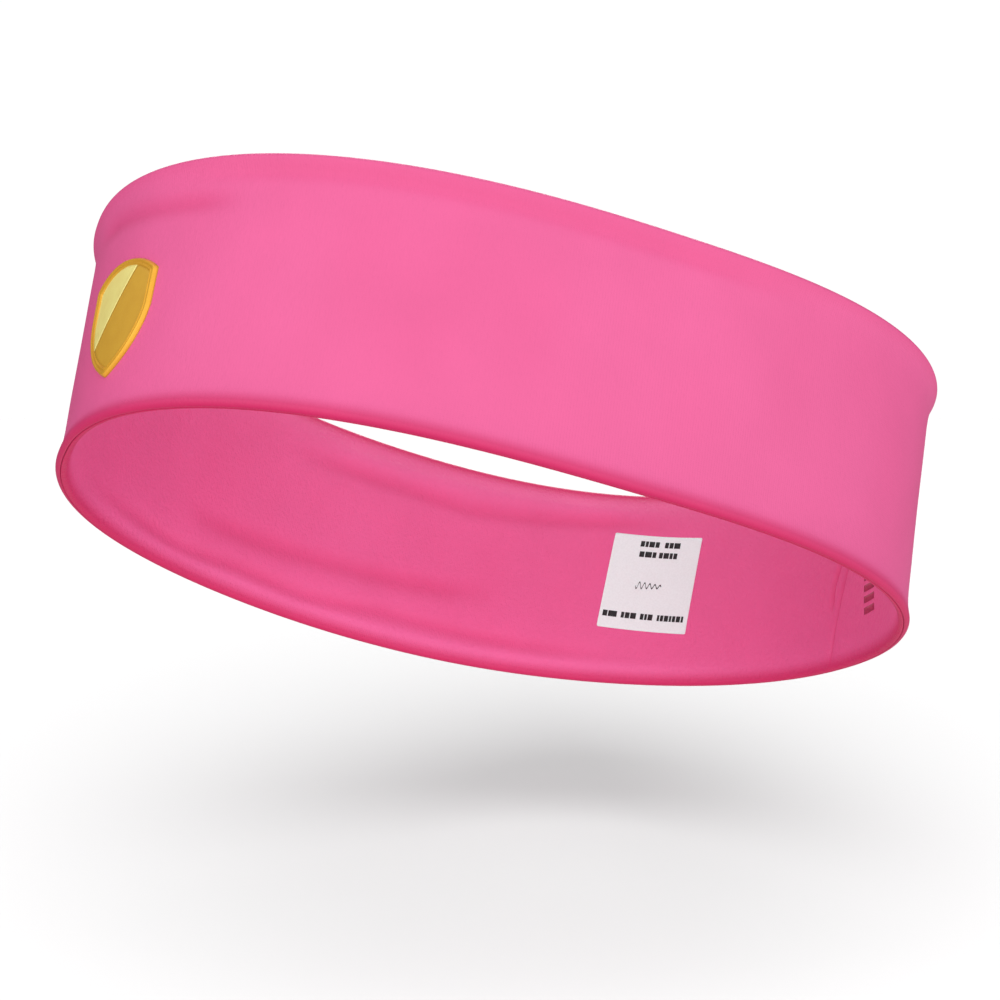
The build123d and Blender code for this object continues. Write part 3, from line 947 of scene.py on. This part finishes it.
def make_light(floor):
    """Soft studio light: two soft boxes at the camera's left, one overhead and one behind light
    the ring, and even light on the floor leaves a soft shadow there."""
    right, up, back = camera_axes()
    ring_only = lit_by(floor, "EXCLUDE")
    floor_only = lit_by(floor, "INCLUDE")
    boxes = (
        ("left_box", back - right * 0.8, 1.7),
        ("high_left_box", back + up * 0.8 - right * 0.8, 0.8),
        ("overhead_box", floor_normal(), 0.7),
        ("rear_box", up * 0.8 - back, 6.7),
    )
    for name, toward, power in boxes:
        soft_box(name, toward, power, ring_only)
    lean = np.radians(SHADOW_LEAN)
    forward = up * np.cos(lean) + back * np.sin(lean) + right * SHADOW_ASIDE
    floor_light("shadow_light", forward, SHADOW_LIGHT, floor_only, True)
    floor_light("fill_light", floor_normal(), FILL_LIGHT, floor_only, False)
    make_surround()


# ---- the headband ----
OUTER_PINK = (0.835, 0.120, 0.329)
INNER_PINK = (0.88, 0.114, 0.330)
# painted shade: the rims' darker, deeper pink, as factors on each base colour
RIM_PAINTED_SHADE = (0.74, 0.03, 0.30)
outer_pink = knit("outer_knit", OUTER_PINK, 0.35, 0.25, 1.5)
inner_pink = knit("inner_knit", INNER_PINK, 0.50, 0.40, 4.5)
pink_thread = thread("sewing_thread", (0.62, 0.04, 0.16))
white_film = print_film("label_white", (0.91, 1.0, 1.0), 0.04)
black_ink = print_film("label_ink", (0.015, 0.015, 0.018), 0.5)
mark_ink = print_film("size_mark_ink", (0.50, 0.02, 0.10), 0.25)
border_gold = gold("emblem_border_gold", (0.90, 0.46, 0.035), 0.32, 0.35)
# painted highlight and painted shade: the field's two facets are a lit and a shaded copy of one gold
painted_highlight_gold = gold("emblem_painted_highlight_gold", (1.00, 0.87, 0.29), 0.40, 0.08)
painted_shade_gold = gold("emblem_painted_shade_gold", (0.72, 0.40, 0.036), 0.40, 0.08)
dark_film = gold("emblem_backing_film", (0.66, 0.36, 0.04), 0.5, 0.35)


def install(obj, slot, *nodes):
    """Makes a piece ride on the ring and stand for its CAD nodes."""
    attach(obj, "root")
    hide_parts(*nodes)


make_camera()
make_light(make_floor())
install(panel("outer_knit", OUTSIDE, outer_pink), "outer_knit", "outer_panel")
install(panel("inner_knit", INSIDE, inner_pink), "inner_knit", "inner_panel")
install(gap_stitches(pink_thread), "sewing_thread", "turning_gap_thread")
install(emblem_back(dark_film), "emblem_backing_film", "emblem_backing")
install(emblem_border(border_gold), "emblem_gold", "emblem_border")
# the left facet carries a painted highlight and the right facet painted shade
install(emblem_facet("emblem_painted_highlight_facet", -1, painted_highlight_gold), "emblem_gold", "emblem_left_field")
install(emblem_facet("emblem_painted_shade_facet", 1, painted_shade_gold), "emblem_gold", "emblem_right_field")
install(label_film(white_film), "label_white", "label_film")
for number, bar in enumerate(LABEL_BARS, 1):
    draw = printed_word if bar[-1] else printed_wave
    parts = draw(LABEL_PLACE, LABEL_TURN, bar, LABEL_INK_LIFT)
    word = film_object(f"label_print_{number}", parts, black_ink)
    install(word, "label_ink", f"label_bar_{number}")
for number, bar in enumerate(SIZE_MARK_BARS, 1):
    parts = [block(SIZE_MARK_PLACE, 0, *bar, MARK_INK_LIFT)]
    mark = film_object(f"size_mark_print_{number}", parts, mark_ink)
    install(mark, "size_mark_ink", f"size_mark_bar_{number}")
for name in ("top_edge_thread", "bottom_edge_thread", "closing_seam_thread"):
    hidden_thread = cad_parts[name]
    hidden_thread.data.materials.clear()
    hidden_thread.data.materials.append(pink_thread)
